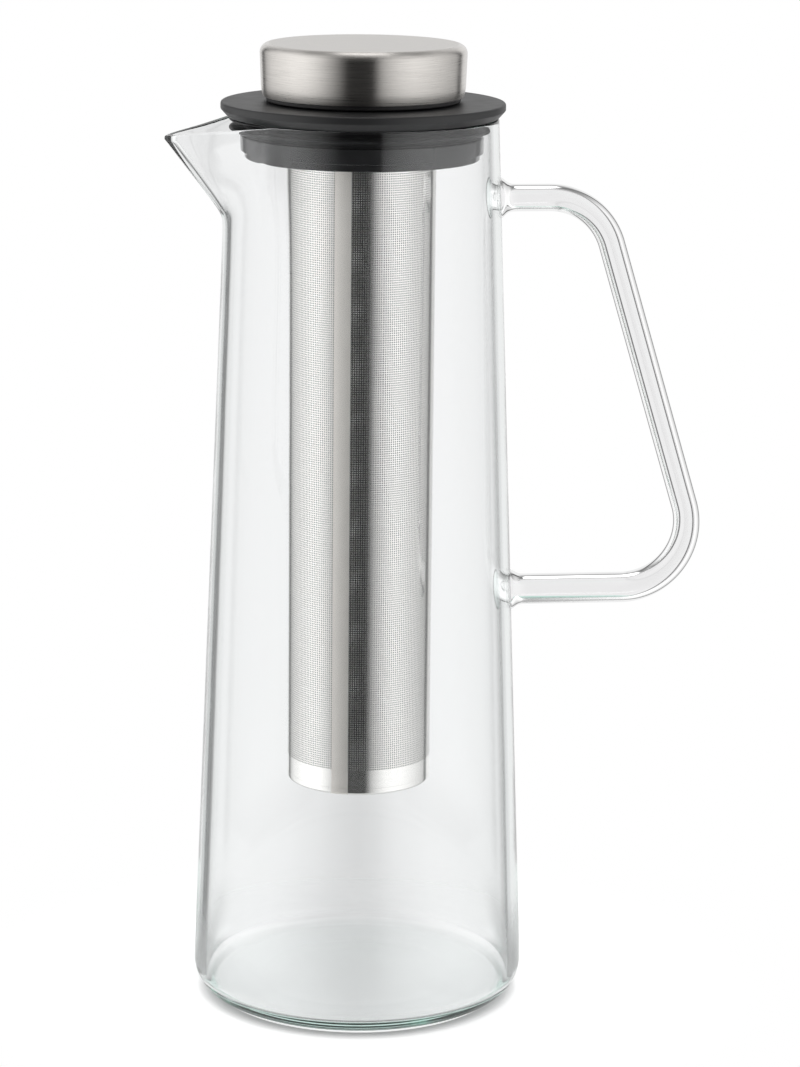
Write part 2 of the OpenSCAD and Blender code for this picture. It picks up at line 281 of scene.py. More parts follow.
def mouldedFinish(name, colour, scale, middle, spread, bump, gloss, polished=None):
    # moulded plastic or rubber; polished gives the height below which the mould was smooth, and its roughness
    material, tree, shader = newMaterial(name)
    shader.inputs["Base Color"].default_value = (*colour, 1)
    shader.inputs["Specular IOR Level"].default_value = gloss
    skin = placeGroup(tree, grain, Scale=scale, Middle=middle, Spread=spread)
    rough, height = skin.outputs["Roughness"], skin.outputs["Height"]
    if polished:
        smoothBelow, smoothRough = polished
        satin = mathNode(tree, "GREATER_THAN", splitPlace(tree)[3], smoothBelow)
        smooth = mathNode(tree, "MULTIPLY", mathNode(tree, "SUBTRACT", 1.0, satin), smoothRough)
        rough = mathNode(tree, "ADD", mathNode(tree, "MULTIPLY", rough, satin), smooth)
        height = mathNode(tree, "MULTIPLY", height, satin)
    tree.links.new(rough, shader.inputs["Roughness"])
    bumpFrom(tree, shader, height, bump, bumpDepth["grain"])
    return material


def steelFinish(name, colour, anisotropic, bump, **lay):
    # brushed or polished steel: the lay of the brush lines sets the tone, the roughness and the bump
    material, tree, shader = newMaterial(name)
    shader.inputs["Metallic"].default_value = 1.0
    shader.inputs["Anisotropic"].default_value = anisotropic
    brushed = placeGroup(tree, brush, **lay)
    tone = addNode(tree, "ShaderNodeMix", data_type="RGBA", blend_type="MULTIPLY")
    tone.inputs[0].default_value = 1.0
    tone.inputs[6].default_value = (*colour, 1)
    tree.links.new(brushed.outputs["Tone"], tone.inputs[7])
    tree.links.new(tone.outputs[2], shader.inputs["Base Color"])
    tree.links.new(brushed.outputs["Roughness"], shader.inputs["Roughness"])
    bumpFrom(tree, shader, brushed.outputs["Height"], bump, bumpDepth["brush"])
    if anisotropic:
        # the sheen spreads across the brush lines
        shader.inputs["Anisotropic Rotation"].default_value = 0.25
        around = addNode(tree, "ShaderNodeTangent", direction_type="RADIAL", axis="Z")
        tree.links.new(around.outputs[0], shader.inputs["Tangent"])
    return material


glassLook = dict(index=1.47, lowTint=(0.996, 0.993, 0.997), highTint=(0.997, 0.994, 0.998),
                 tintFrom=0.02, tintTo=0.06, tintScale=3.3, soak=(0.30, 0.86, 0.70), soakDensity=4.5,
                 rippleScale=35.0, ripple=0.07, shadow=(0.86, 0.88, 0.875))


def glassFinish(name):
    # clear borosilicate: slow blown ripples, and a green that only shows where the light goes a long way
    # through
    g = glassLook
    material, tree, shader = newMaterial(name)
    out = findNode(tree, "OUTPUT_MATERIAL")
    shader.inputs["Transmission Weight"].default_value = 1.0
    shader.inputs["Roughness"].default_value = 0.0
    shader.inputs["IOR"].default_value = g["index"]
    place, _, _, z = splitPlace(tree)
    ramp = tree.nodes.new("ShaderNodeValToRGB")
    tints = ((g["tintFrom"], g["lowTint"]), (g["tintTo"], g["highTint"]))
    for stop, (position, tint) in zip(ramp.color_ramp.elements, tints):
        stop.position = position
        stop.color = (*tint, 1)
    tree.links.new(mathNode(tree, "MULTIPLY", z, g["tintScale"]), ramp.inputs[0])
    tree.links.new(ramp.outputs[0], shader.inputs["Base Color"])
    soak = addNode(tree, "ShaderNodeVolumeAbsorption", Density=g["soakDensity"])
    soak.inputs["Color"].default_value = (*g["soak"], 1)
    tree.links.new(soak.outputs[0], out.inputs["Volume"])
    ripple = addNode(tree, "ShaderNodeTexNoise", Scale=g["rippleScale"], Detail=1.0)
    tree.links.new(place, ripple.inputs["Vector"])
    bumpFrom(tree, shader, ripple.outputs[0], g["ripple"], bumpDepth["ripple"])
    # lamps shine through the glass with a light grey shadow
    path = tree.nodes.new("ShaderNodeLightPath")
    clear = tree.nodes.new("ShaderNodeBsdfTransparent")
    clear.inputs["Color"].default_value = (*g["shadow"], 1)
    mix = tree.nodes.new("ShaderNodeMixShader")
    tree.links.new(path.outputs["Is Shadow Ray"], mix.inputs[0])
    tree.links.new(shader.outputs[0], mix.inputs[1])
    tree.links.new(clear.outputs[0], mix.inputs[2])
    tree.links.new(mix.outputs[0], out.inputs["Surface"])
    return material


clearGlass = glassFinish("clearGlass")
satinBlack = mouldedFinish("satinBlack", (0.015, 0.015, 0.016), 2600.0, 0.45, 0.12, 0.12, 0.5, (0.2745, 0.11))
mattRubber = mouldedFinish("mattRubber", (0.010, 0.010, 0.011), 1500.0, 0.46, 0.15, 0.1, 0.3)
brushedCap = steelFinish("brushedCap", (0.655, 0.63, 0.60), 0.97, 0.10, Lines=5200.0, Length=90.0,
                         Middle=0.30, Spread=0.2, Streak=0.75)
# the flat top: a spun finish, its steel a little lighter than the side's as painted light on the top
spunTopAndPaintedLight = steelFinish("spunTopAndPaintedLight", (0.69, 0.67, 0.645), 0.0, 0.06, Lines=5200.0, Length=90.0,
                      Middle=0.36, Spread=0.1, Streak=0.3)
brightSheet = steelFinish("brightSheet", (0.93, 0.92, 0.90), 0.0, 0.02, Lines=2500.0, Length=60.0,
                          Middle=0.12, Spread=0.06, Streak=0.08)
# a dull grey for the sheet's inner face behind the holes: partly the holes' burred insides, which scatter the
# light, and partly painted shade in the holes
burrsAndHoleShade = mouldedFinish("burrsAndHoleShade", (0.42, 0.42, 0.41), 1500.0, 0.8, 0.1, 0.03, 0.2)
print("materials ready")


# the sizes of all pieces are in millimetres
jugSize = dict(baseR=52.5, rimR=41.3, rimZ=278.0, rimWall=2.4, baseWall=3.8, floor=4.6,
               baseCorner=9.0, floorCorner=2.2, pushupR=30.0, pushupH=0.4,
               spoutReach=61.2, spoutDrop=5.5, spoutRoot=30.0, halfAngle=math.radians(38.5), nose=8.0,
               lipStart=31.0, dipEase=2.0, lipSquare=0.45, sideAngle=0.7, sideFall=200.0,
               keelFillet=1.6, flankFillet=4.0, flankAngle=0.9,
               beakDraw=math.radians(4.5), beakAt=math.radians(12), beakWide=math.radians(9),
               beakTail=math.radians(17), turns=384, crowding=0.8, dipRounds=40, underSpout=14.0,
               lowPole=0.04, footGap=0.6, floorPole=0.8,
               steps=dict(dome=14, foot=6, corner=16, wall=36, spout=52, lip=14, floor=16))


def jugOuter(z):
    return jugSize["baseR"] + (jugSize["rimR"] - jugSize["baseR"]) * z / jugSize["rimZ"]


def jugInner(z):
    low, high = jugSize["baseR"] - jugSize["baseWall"], jugSize["rimR"] - jugSize["rimWall"]
    return low + (high - low) * z / jugSize["rimZ"]


def spoutExit(angle, z, shift):
    # distance from the jug's axis at which a level ray leaves the spout's cone: the cone opens from an
    # apex beyond the tip towards the axis, dipping, and shift moves its apex inwards along its own axis;
    # past sideAngle the distance falls off, because the cone is only wanted at the spout's own side, and
    # round beakAt the flanks are drawn in, as a pulled spout's are
    s = jugSize
    beak = np.abs(angle) - s["beakAt"]
    beak = beak / np.where(beak < 0, s["beakWide"], s["beakTail"])
    angle = angle + np.sign(angle) * s["beakDraw"] * np.exp(-beak ** 2)
    rootR = jugOuter(s["rimZ"] - s["spoutRoot"])
    keel = math.atan2(s["spoutRoot"] - s["spoutDrop"], s["spoutReach"] - rootR)
    dip = keel - s["halfAngle"]
    apexS = s["spoutReach"] + s["nose"] * math.cos(keel) - shift * math.cos(dip)
    apexZ = s["rimZ"] - s["spoutDrop"] + s["nose"] * math.sin(keel) - shift * math.sin(dip)
    wide = math.cos(s["halfAngle"]) ** 2
    c, height = np.cos(angle), z - apexZ
    along = math.cos(dip) * apexS - math.sin(dip) * height
    # the cone's equation along the ray is square r r + linear r + plain = 0
    square = wide - (math.cos(dip) * c) ** 2
    linear = 2 * c * (along * math.cos(dip) - wide * apexS)
    plain = wide * (apexS ** 2 + height ** 2) - along ** 2
    below = linear + np.sqrt(np.maximum(linear ** 2 - 4 * square * plain, 0))
    found = (plain < 0) & (below > 1e-6) & (c > 0)
    fall = s["sideFall"] * np.maximum(np.abs(angle) - s["sideAngle"], 0) ** 2
    return np.where(found, -2 * plain / np.where(found, below, 1) - fall, 0)


def jugSides(angle, z):
    # each is the jug's cone or the spout's, whichever is further out; the fillet is wider at the flanks
    s = jugSize
    inset = s["rimWall"] / math.sin(s["halfAngle"])
    flank = softStep(np.abs(angle) / s["flankAngle"])
    fillet = s["keelFillet"] + (s["flankFillet"] - s["keelFillet"]) * flank
    outer = softMax(jugOuter(z), spoutExit(angle, z, 0.0), fillet)
    inner = softMax(jugInner(z), spoutExit(angle, z, inset), fillet)
    return outer, inner


def makeJug():
    # for each angle from the spout: out along the underside, up the outer wall, round the rim and down
    # the inner wall to the floor; columns lie closer together near the spout
    s = jugSize
    steps = s["steps"]
    even = np.linspace(-math.pi, math.pi, s["turns"], endpoint=False)
    angle = even - s["crowding"] * np.sin(even)
    rimZ, nose = s["rimZ"], s["rimWall"] / 2
    # the lip dips along a slope that starts at lipStart from the axis and is eased in over dipEase; how far
    # out the wall is depends on the dip, so the two are settled in rounds
    slope = s["spoutDrop"] / (s["spoutReach"] - s["lipStart"])
    ease = s["dipEase"]
    crest = np.full_like(angle, rimZ)
    for _ in range(s["dipRounds"]):
        past = jugSides(angle, crest - nose)[0] * np.cos(angle) - s["lipStart"]
        eased = np.where(past > ease, past, np.maximum(past + ease, 0) ** 2 / (4 * ease))
        crest = 0.5 * crest + 0.5 * (rimZ - slope * eased)
    # underside and base corner
    taper = math.atan((s["baseR"] - s["rimR"]) / rimZ)
    corner = s["baseCorner"]
    cornerR = s["baseR"] - corner * (math.tan(taper) + 1 / math.cos(taper))
    dome = np.linspace(s["lowPole"], 1, steps["dome"]) * s["pushupR"]
    domeZ = s["pushupH"] * (1 - (dome / s["pushupR"]) ** 2)
    foot = np.linspace(s["pushupR"] + s["footGap"], cornerR, steps["foot"])
    bend = np.linspace(-math.pi / 2, taper, steps["corner"])[1:]
    lowR = np.concatenate([dome, foot, cornerR + corner * np.cos(bend)])
    lowZ = np.concatenate([domeZ, np.zeros(len(foot)), corner + corner * np.sin(bend)])
    # wall heights: level rows up to the spout, then rows that follow the dipping rim
    levelZ = rimZ - s["spoutRoot"] - s["underSpout"]
    rise = np.linspace(0, 1, steps["spout"])[1:, None]
    spoutZ = levelZ + (crest - nose - levelZ)[None] * rise
    outerWall = np.linspace(lowZ[-1], levelZ, steps["wall"])[1:]
    outerZ = np.concatenate([np.repeat(outerWall[:, None], len(angle), 1), spoutZ])
    # inner wall and floor
    innerTaper = math.atan((jugInner(0) - jugInner(rimZ)) / rimZ)
    hollow = s["floorCorner"]
    hollowR = jugInner(s["floor"]) - hollow * (math.tan(innerTaper) + 1 / math.cos(innerTaper))
    sweep = np.linspace(innerTaper, -math.pi / 2, steps["corner"])
    flat = np.linspace(hollowR, s["floorPole"], steps["floor"])[1:]
    lastR = np.concatenate([hollowR + hollow * np.cos(sweep), flat])
    lastZ = np.concatenate([s["floor"] + hollow + hollow * np.sin(sweep), np.full(len(flat), s["floor"])])
    innerWall = np.linspace(levelZ, lastZ[0], steps["wall"])[1:-1]
    innerZ = np.concatenate([spoutZ[::-1], np.full((1, len(angle)), levelZ),
                             np.repeat(innerWall[:, None], len(angle), 1)])
    outerR, innerR = jugSides(angle[None], outerZ)[0], jugSides(angle[None], innerZ)[1]
    # rim: half a squarish round from the outer to the inner wall
    over = np.linspace(0, math.pi, steps["lip"])[1:-1, None]
    middle, half = 0.5 * (outerR[-1] + innerR[0]), 0.5 * (outerR[-1] - innerR[0])
    lipR = middle + half * np.sign(np.cos(over)) * np.abs(np.cos(over)) ** s["lipSquare"]
    lipZ = crest - nose + nose * np.sin(over) ** s["lipSquare"]
    wide = np.ones((1, len(angle)))
    radius = np.concatenate([lowR[:, None] * wide, outerR, lipR, innerR, lastR[:, None] * wide])
    height = np.concatenate([lowZ[:, None] * wide, outerZ, lipZ, innerZ, lastZ[:, None] * wide])
    points = np.stack([-radius * np.cos(angle), -radius * np.sin(angle), height], axis=-1).reshape(-1, 3)
    points = np.concatenate([points, [[0, 0, s["pushupH"]], [0, 0, s["floor"]]]])
    return putMesh("glass_body", points * mm, gridQuads(*radius.shape), poleTriangles(*radius.shape))


jug = makeJug()
jug.data.materials.append(clearGlass)
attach(jug, "jug")
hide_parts("glass_jug")
print("jug:", len(jug.data.polygons), "faces")


handleSize = dict(rodR=4.5, slimR=4.2, fullR=4.8, reach=108.0, drop=25.0, height=124.0,
                  lean=math.radians(16.8), bend=20.6, weldR=6.4, weldL=3.0, weldFall=2.0, gap=0.03,
                  footRings=9, pole=0.08, sides=96, crowding=1.5,
                  steps=dict(arm=60, topBend=40, grip=60, lowBend=48))


def makeHandle():
    # a round rod along arm, bend, grip, bend, arm in the XZ plane, swelling to a weld at both ends, where a
    # foot closes it that follows the jug's wall; points lie closer together near the welds
    s = handleSize
    steps = s["steps"]
    topZ, lean, bend = jugSize["rimZ"] - s["drop"], s["lean"], s["bend"]
    lowZ = topZ - s["height"]
    lowX = s["reach"] - s["rodR"] - bend + bend * (math.tan(lean) + 1 / math.cos(lean))
    topX = lowX - s["height"] * math.tan(lean)
    startX, endX = jugOuter(topZ) + s["gap"], jugOuter(lowZ) + s["gap"]
    bendTopX = topX - bend * math.tan(math.pi / 4 - lean / 2)
    bendLowX = lowX - bend * math.tan(math.pi / 4 + lean / 2)
    along = np.linspace(0, 1, steps["arm"])[:, None] ** s["crowding"]
    topArm = np.array([startX, topZ]) + np.array([bendTopX - startX, 0]) * along
    lowArm = (np.array([endX, lowZ]) + np.array([bendLowX - endX, 0]) * along)[-2::-1]
    topArc = np.linspace(math.pi / 2, lean, steps["topBend"])[1:, None]
    lowArc = np.linspace(lean, -math.pi / 2, steps["lowBend"])[:, None]
    topCentre, lowCentre = np.array([bendTopX, topZ - bend]), np.array([bendLowX, lowZ + bend])
    topBend = topCentre + bend * np.concatenate([np.cos(topArc), np.sin(topArc)], axis=1)
    lowBend = lowCentre + bend * np.concatenate([np.cos(lowArc), np.sin(lowArc)], axis=1)
    grip = topBend[-1] + (lowBend[0] - topBend[-1]) * np.linspace(0, 1, steps["grip"])[1:-1, None]
    path = np.concatenate([topArm, topBend, grip, lowBend, lowArm])
    step = np.gradient(path, axis=0)
    step /= np.linalg.norm(step, axis=1, keepdims=True)
    walked = np.concatenate([[0], np.cumsum(np.linalg.norm(np.diff(path, axis=0), axis=1))])
    fromEnd = np.minimum(walked, walked[-1] - walked)
    # drawn a little slimmer along the upper arm and the grip than along the lower arm
    lowStart = walked[len(topArm) + len(topBend) + len(grip)]
    full = softStep((walked - lowStart) / (bend * (math.pi / 2 + lean)))
    drawn = s["slimR"] + (s["fullR"] - s["slimR"]) * full
    radius = drawn + (s["weldR"] - drawn) * np.exp(-(fromEnd / s["weldL"]) ** 2 * s["weldFall"])
    # each foot is more rings at the same place, down to a pole
    foot = np.linspace(s["pole"], 1, s["footRings"])[:-1]
    radius = np.concatenate([foot * radius[0], radius, foot[::-1] * radius[-1]])
    path, step = (np.pad(line, ((len(foot), len(foot)), (0, 0)), mode="edge") for line in (path, step))
    fromEnd = np.pad(fromEnd, len(foot))
    # a ring of points square to the path at each of its points
    side = np.stack([-step[:, 1], step[:, 0]], axis=1)
    angle = np.linspace(0, 2 * math.pi, s["sides"], endpoint=False)
    offset = radius[:, None, None] * np.stack([side[:, :1] * np.cos(angle),
                                               np.repeat(np.sin(angle)[None], len(path), 0),
                                               side[:, 1:] * np.cos(angle)], axis=-1)
    points = np.stack([path[:, 0], np.zeros(len(path)), path[:, 1]], axis=1)[:, None] + offset
    follow = np.clip(1 - fromEnd / s["weldL"], 0, 1)[:, None] ** 2
    wallX = np.sqrt(np.maximum(jugOuter(points[..., 2]) ** 2 - points[..., 1] ** 2, 0))
    points[..., 0] += follow * (wallX - jugOuter(path[:, 1:]))
    grid = points.shape[:2]
    points = np.concatenate([points.reshape(-1, 3), [[startX, 0, topZ], [endX, 0, lowZ]]])
    return putMesh("glass_rod_handle", points * mm, gridQuads(*grid), poleTriangles(*grid))


handle = makeHandle()
handle.data.materials.append(clearGlass)
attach(handle, "jug")
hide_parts("glass_handle")
print("handle ready")


lidSize = dict(seatZ=278.3, flangeTop=282.7, flangeR=43.4, flangeEdge=2.1, rimR=41.3,
               plugTop=272.6, plugLow=267.8, lidLow=265.7, plugR=36.84, stepR=35.69, grooveR=34.24,
               pocketR=26.8, pocketZ=281.2, throatR=23.0, coreIn=25.2, coreOut=32.04, coreTop=279.0)
sealSize = dict(fit=0.02, thick=1.6, lipR=38.62, lipApart=2.84, lipRoot=0.85, lipLow=0.45, lipHigh=1.35,
                freeTo=math.radians(38), freeEase=math.radians(14), spread=2.2)


def makeCollar():
    # throat, hollow core, stepped plug, seal groove, flange and the pocket for the infuser's rim, turned
    s = lidSize
    section = roundedSection([
        (s["throatR"], s["lidLow"], 0.3), (s["coreIn"], s["lidLow"], 0.4), (s["coreIn"], s["coreTop"], 0.8),
        (s["coreOut"], s["coreTop"], 0.8), (s["coreOut"], s["lidLow"], 0.4), (s["stepR"], s["lidLow"], 0.5),
        (s["stepR"], s["plugLow"], 0.15), (s["plugR"], s["plugLow"], 0.45), (s["plugR"], s["plugTop"], 0.35),
        (s["grooveR"], s["plugTop"], 0.2), (s["grooveR"], s["seatZ"], 0.2), (s["rimR"], s["seatZ"], 0.8),
        (s["flangeR"], s["flangeTop"] - s["flangeEdge"], 0.6), (s["flangeR"], s["flangeTop"], 0.7),
        (s["pocketR"], s["flangeTop"], 0.3), (s["pocketR"], s["pocketZ"], 0.2),
        (s["throatR"], s["pocketZ"], 0.3)])
    return turned("lid_flange", section)


def makeSeal():
    # a ring with two lips; where the spout opens beside it nothing presses the lips in, so they spread there
    s, groove = sealSize, lidSize["grooveR"]
    inner, body, lip = groove + s["fit"], groove + s["thick"], s["lipR"]
    low, high = lidSize["plugTop"] + s["fit"], lidSize["seatZ"] - s["fit"]
    middle = 0.5 * (lidSize["plugTop"] + lidSize["seatZ"])
    corners = [(inner, low, 0.1), (body, low, 0.2)]
    for z in (middle - s["lipApart"] / 2, middle + s["lipApart"] / 2):
        corners += [(body, z - s["lipRoot"], 0.3), (lip, z + s["lipLow"], 0.4),
                    (lip, z + s["lipHigh"], 0.4), (body, z + s["lipRoot"], 0.3)]
    ring = turned("lid_seal_ring", roundedSection(corners + [(body, high, 0.2), (inner, high, 0.1)]))
    points = np.empty(len(ring.data.vertices) * 3, dtype=np.float32)
    ring.data.vertices.foreach_get("co", points)
    points = points.reshape(-1, 3)
    radius = np.hypot(points[:, 0], points[:, 1])
    fromSpout = np.abs(np.arctan2(points[:, 1], -points[:, 0]))
    free = softStep((s["freeTo"] - fromSpout) / s["freeEase"])
    share = np.clip((radius / mm - body) / (lip - body), 0, 1)
    points[:, :2] *= (1 + free * share * s["spread"] * mm / np.maximum(radius, mm))[:, None]
    ring.data.vertices.foreach_set("co", points.ravel())
    ring.data.update()
    return ring


collar, seal = makeCollar(), makeSeal()
for piece, material, node, slot in ((collar, satinBlack, "lid_collar", "lid_plastic"),
                                    (seal, mattRubber, "lid_seal", "silicone")):
    piece.data.materials.append(material)
    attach(piece, "lid")
    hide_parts(node)
print("lid ready")


infuserSize = dict(sleeveR=22.5, sheet=0.4, shownSheet=0.22, lowZ=69.4, edge=2.2, plainTop=77.4,
                   holesTop=271.3, columns=202, rows=277, holeShare=0.60, innerShare=0.26, bandRows=5,
                   seamAngle=math.radians(249), seamW=5.3, seamTint=(0.98, 0.94, 0.90), seamDull=0.5,
                   cupWall=0.8, fit=0.02, hangZ=281.5, hangT=1.2, hangR=26.5, spigot=9.0, spigotWall=0.8)


def makeSheet(name, radius, share, inward):
    # a perforated sheet round the axis: two lines of points for each column and row of holes, and the face
    # between both is left out, which is the hole; the seam and the lower band stay whole
    s = infuserSize
    columns, rows, band = s["columns"], s["rows"], s["bandRows"]
    pitch, pitchZ = 2 * math.pi / columns, (s["holesTop"] - s["plainTop"]) / rows
    turn = (np.repeat(np.arange(columns), 2) + np.tile([0.0, 1 - share], columns)) * pitch
    turn += s["seamAngle"] + 0.5 * share * pitch
    lines = np.repeat(np.arange(rows), 2) + np.tile([0.0, share], rows) + 0.5 * (1 - share)
    below = np.linspace(s["lowZ"] + s["edge"], s["plainTop"], band + 1)[:-1]
    height = np.concatenate([below, s["plainTop"] + lines * pitchZ, [s["holesTop"], s["hangZ"] - s["fit"]]])
    fromSeam = np.minimum(np.arange(columns) + 1, columns - 1 - np.arange(columns)) * pitch * s["sleeveR"]
    openColumn = np.zeros(2 * columns, dtype=bool)
    openColumn[1::2] = fromSeam > s["seamW"] / 2
    openRow = np.zeros(len(height) - 1, dtype=bool)
    openRow[band:band + 2 * rows:2] = True
    # in two pieces, one above the other
    half = band + rows
    pieces = []
    for suffix, first, last in (("_low", 0, half + 1), ("_top", half, len(height))):
        part = height[first:last]
        grid = (len(part), len(turn))
        points = np.stack([np.broadcast_to(radius * np.cos(turn), grid),
                           np.broadcast_to(radius * np.sin(turn), grid),
                           np.broadcast_to(part[:, None], grid)], axis=-1).reshape(-1, 3)
        quads = gridQuads(*grid).reshape(len(part) - 1, len(turn), 4)
        quads = quads[~(openRow[first:last - 1, None] & openColumn[None])]
        pieces.append(putMesh(name + suffix, points * mm, quads[:, ::-1] if inward else quads))
    return pieces


def makeBase():
    # a shallow cup, turned, whose upper edge stands inside the sleeve
    s = infuserSize
    r, z, t, seatZ = s["sleeveR"], s["lowZ"], s["cupWall"], s["lowZ"] + s["edge"]
    topZ, inner = seatZ + s["edge"], r - s["sheet"]
    section = roundedSection([
        (0, z, 0), (r, z, 0.9), (r, seatZ, 0.12), (inner - s["fit"], seatZ, 0), (inner - s["fit"], topZ, 0.1),
        (inner - t, topZ, 0.1), (inner - t, z + t, 1.0), (0, z + t, 0)])
    return turned("infuser_cup", section)


def makeRim():
    # a flat ring with a spigot down into the sleeve, turned
    s = infuserSize
    outer = s["sleeveR"] - s["sheet"] - s["fit"]
    inner, lowZ, topZ = outer - s["spigotWall"], s["hangZ"] - s["spigot"], s["hangZ"] + s["hangT"]
    section = roundedSection([
        (inner, lowZ, 0.1), (outer, lowZ, 0.1), (outer, s["hangZ"], 0.05), (s["hangR"], s["hangZ"], 0.4),
        (s["hangR"], topZ, 0.45), (inner, topZ, 0.5)])
    return turned("infuser_hanger", section)


def tintSeam(material, tint, dull):
    # the weld down the sheet is a warm dull stripe, as wide as the band without holes
    tree = material.node_tree
    shader = findNode(tree, "BSDF_PRINCIPLED")
    polished = shader.inputs["Base Color"].links[0].from_socket
    smooth = shader.inputs["Roughness"].links[0].from_socket
    _, x, y, _ = splitPlace(tree)
    front, across = turnedAxes(tree, x, y, infuserSize["seamAngle"])
    nearSeam = mathNode(tree, "LESS_THAN", mathNode(tree, "ABSOLUTE", across), infuserSize["seamW"] / 2 * mm)
    onSeam = mathNode(tree, "MULTIPLY", nearSeam, mathNode(tree, "GREATER_THAN", front, 0.0))
    weld = addNode(tree, "ShaderNodeMix", data_type="RGBA")
    weld.inputs[7].default_value = (*tint, 1)
    tree.links.new(onSeam, weld.inputs[0])
    tree.links.new(polished, weld.inputs[6])
    tree.links.new(weld.outputs[2], shader.inputs["Base Color"])
    tree.links.new(mathNode(tree, "MAXIMUM", smooth, mathNode(tree, "MULTIPLY", onSeam, dull)),
                   shader.inputs["Roughness"])


tintSeam(brightSheet, infuserSize["seamTint"], infuserSize["seamDull"])
outerSheet = makeSheet("infuser_mesh", infuserSize["sleeveR"], infuserSize["holeShare"], False)
# the sheet's inner face, with smaller holes, in the dull grey that paints shade into the holes
innerSheet = makeSheet("infuser_lining", infuserSize["sleeveR"] - infuserSize["shownSheet"],
                       infuserSize["innerShare"], True)
for piece, node, material in ((outerSheet[0], "infuser_sleeve", brightSheet),
                              (outerSheet[1], "infuser_sleeve", brightSheet),
                              (innerSheet[0], "infuser_sleeve", burrsAndHoleShade),
                              (innerSheet[1], "infuser_sleeve", burrsAndHoleShade),
                              (makeBase(), "infuser_base", brightSheet),
                              (makeRim(), "infuser_rim", brightSheet)):
    piece.data.materials.append(material)
    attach(piece, "infuser")
    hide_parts(node)
print("infuser:", sum(len(piece.data.polygons) for piece in outerSheet + innerSheet), "faces")


capSize = dict(r=31.6, lowZ=284.4, topZ=300.3, edge=2.8, sheet=0.6, draft=0.5, mouthR=30.5, curl=2.0,
               linerZ=283.0, neckR=29.6, stopperR=20.7, stopperLow=272.2, wall=2.2, deckH=3.6, skirtH=5.0,
               ringR=20.15, ringZ=276.85, wireR=1.0, grooveH=0.95, grooveD=0.75,
               turns=256, steps=14, ringSides=24, flatWithin=0.02)


def makeShell():
    # a drawn cup upside down, its wall with a little draft and its mouth curled in, turned
    s = capSize
    t, curlR, curlZ = s["sheet"], s["r"] - s["draft"], s["lowZ"] + s["curl"]
    section = roundedSection([
        (0, s["topZ"], 0), (0, s["topZ"] - t, 0), (s["r"] - t, s["topZ"] - t, s["edge"] - t),
        (curlR - t, curlZ, 2.0), (s["mouthR"] - t, s["lowZ"], 0.15), (s["mouthR"], s["lowZ"], 0.25),
        (curlR, curlZ, 12.0), (s["r"], s["topZ"], s["edge"])], steps=s["steps"])
    shell = turned("steel_cap", section, turns=s["turns"])
    # the flat top has a finish of its own: spun rather than brushed lines, and a steel colour a little
    # lighter than the side's, which is painted light on the top
    middles = np.empty(len(shell.data.polygons) * 3, dtype=np.float32)
    shell.data.polygons.foreach_get("center", middles)
    middles = middles.reshape(-1, 3) / mm
    inside = np.hypot(middles[:, 0], middles[:, 1]) < s["r"] - s["edge"]
    flat = inside & (middles[:, 2] > s["topZ"] - s["flatWithin"])
    shell.data.materials.append(brushedCap)
    shell.data.materials.append(spunTopAndPaintedLight)
    shell.data.polygons.foreach_set("material_index", flat.astype(np.int32))
    return shell


def makeLiner():
    # the stopper with its ring groove, the neck and the skirt that holds the cap, turned
    s = capSize
    well, throat = s["stopperR"] - s["wall"], s["ringR"] - s["grooveD"]
    deck, floorZ, inner = s["linerZ"] + s["deckH"], s["stopperLow"] + s["wall"], s["neckR"] - s["wall"]
    top, low, high = deck + s["skirtH"], s["ringZ"] - s["grooveH"], s["ringZ"] + s["grooveH"]
    section = roundedSection([
        (0, s["stopperLow"], 0), (s["stopperR"], s["stopperLow"], 0.8), (s["stopperR"], low, 0.1),
        (throat, low, 0.2), (throat, high, 0.2), (s["stopperR"], high, 0.1),
        (s["stopperR"], s["linerZ"], 0.4), (s["neckR"], s["linerZ"], 0.4), (s["neckR"], top, 0.3),
        (inner, top, 0.3), (inner, deck, 0.5), (well, deck, 0.4), (well, floorZ, 0.6), (0, floorZ, 0)])
    return turned("cap_stopper", section)


def makeRing():
    # a round wire's section, turned
    s = capSize
    angle = np.linspace(0, 2 * math.pi, s["ringSides"], endpoint=False)
    return turned("stopper_ring", np.stack([s["ringR"] + s["wireR"] * np.cos(angle),
                                            s["ringZ"] + s["wireR"] * np.sin(angle)], axis=1))


for piece, material, node, slot in ((makeShell(), None, "cap_shell", "cap_steel"),
                                    (makeLiner(), satinBlack, "cap_liner", "lid_plastic"),
                                    (makeRing(), mattRubber, "cap_seal", "silicone")):
    if material:
        piece.data.materials.append(material)
    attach(piece, "cap")
    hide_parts(node)
print("cap ready")


# in metres and radians; focal and frameHeight in pixels of the 800 x 1067 frame, sensor in millimetres
viewSize = dict(away=1.07944, height=0.40192, pitch=0.23114, yaw=0.011544, roll=0.010118,
                turn=math.radians(-6.0), focal=3547.58, frameHeight=1067.0, sensor=36.0, nearClip=0.01)


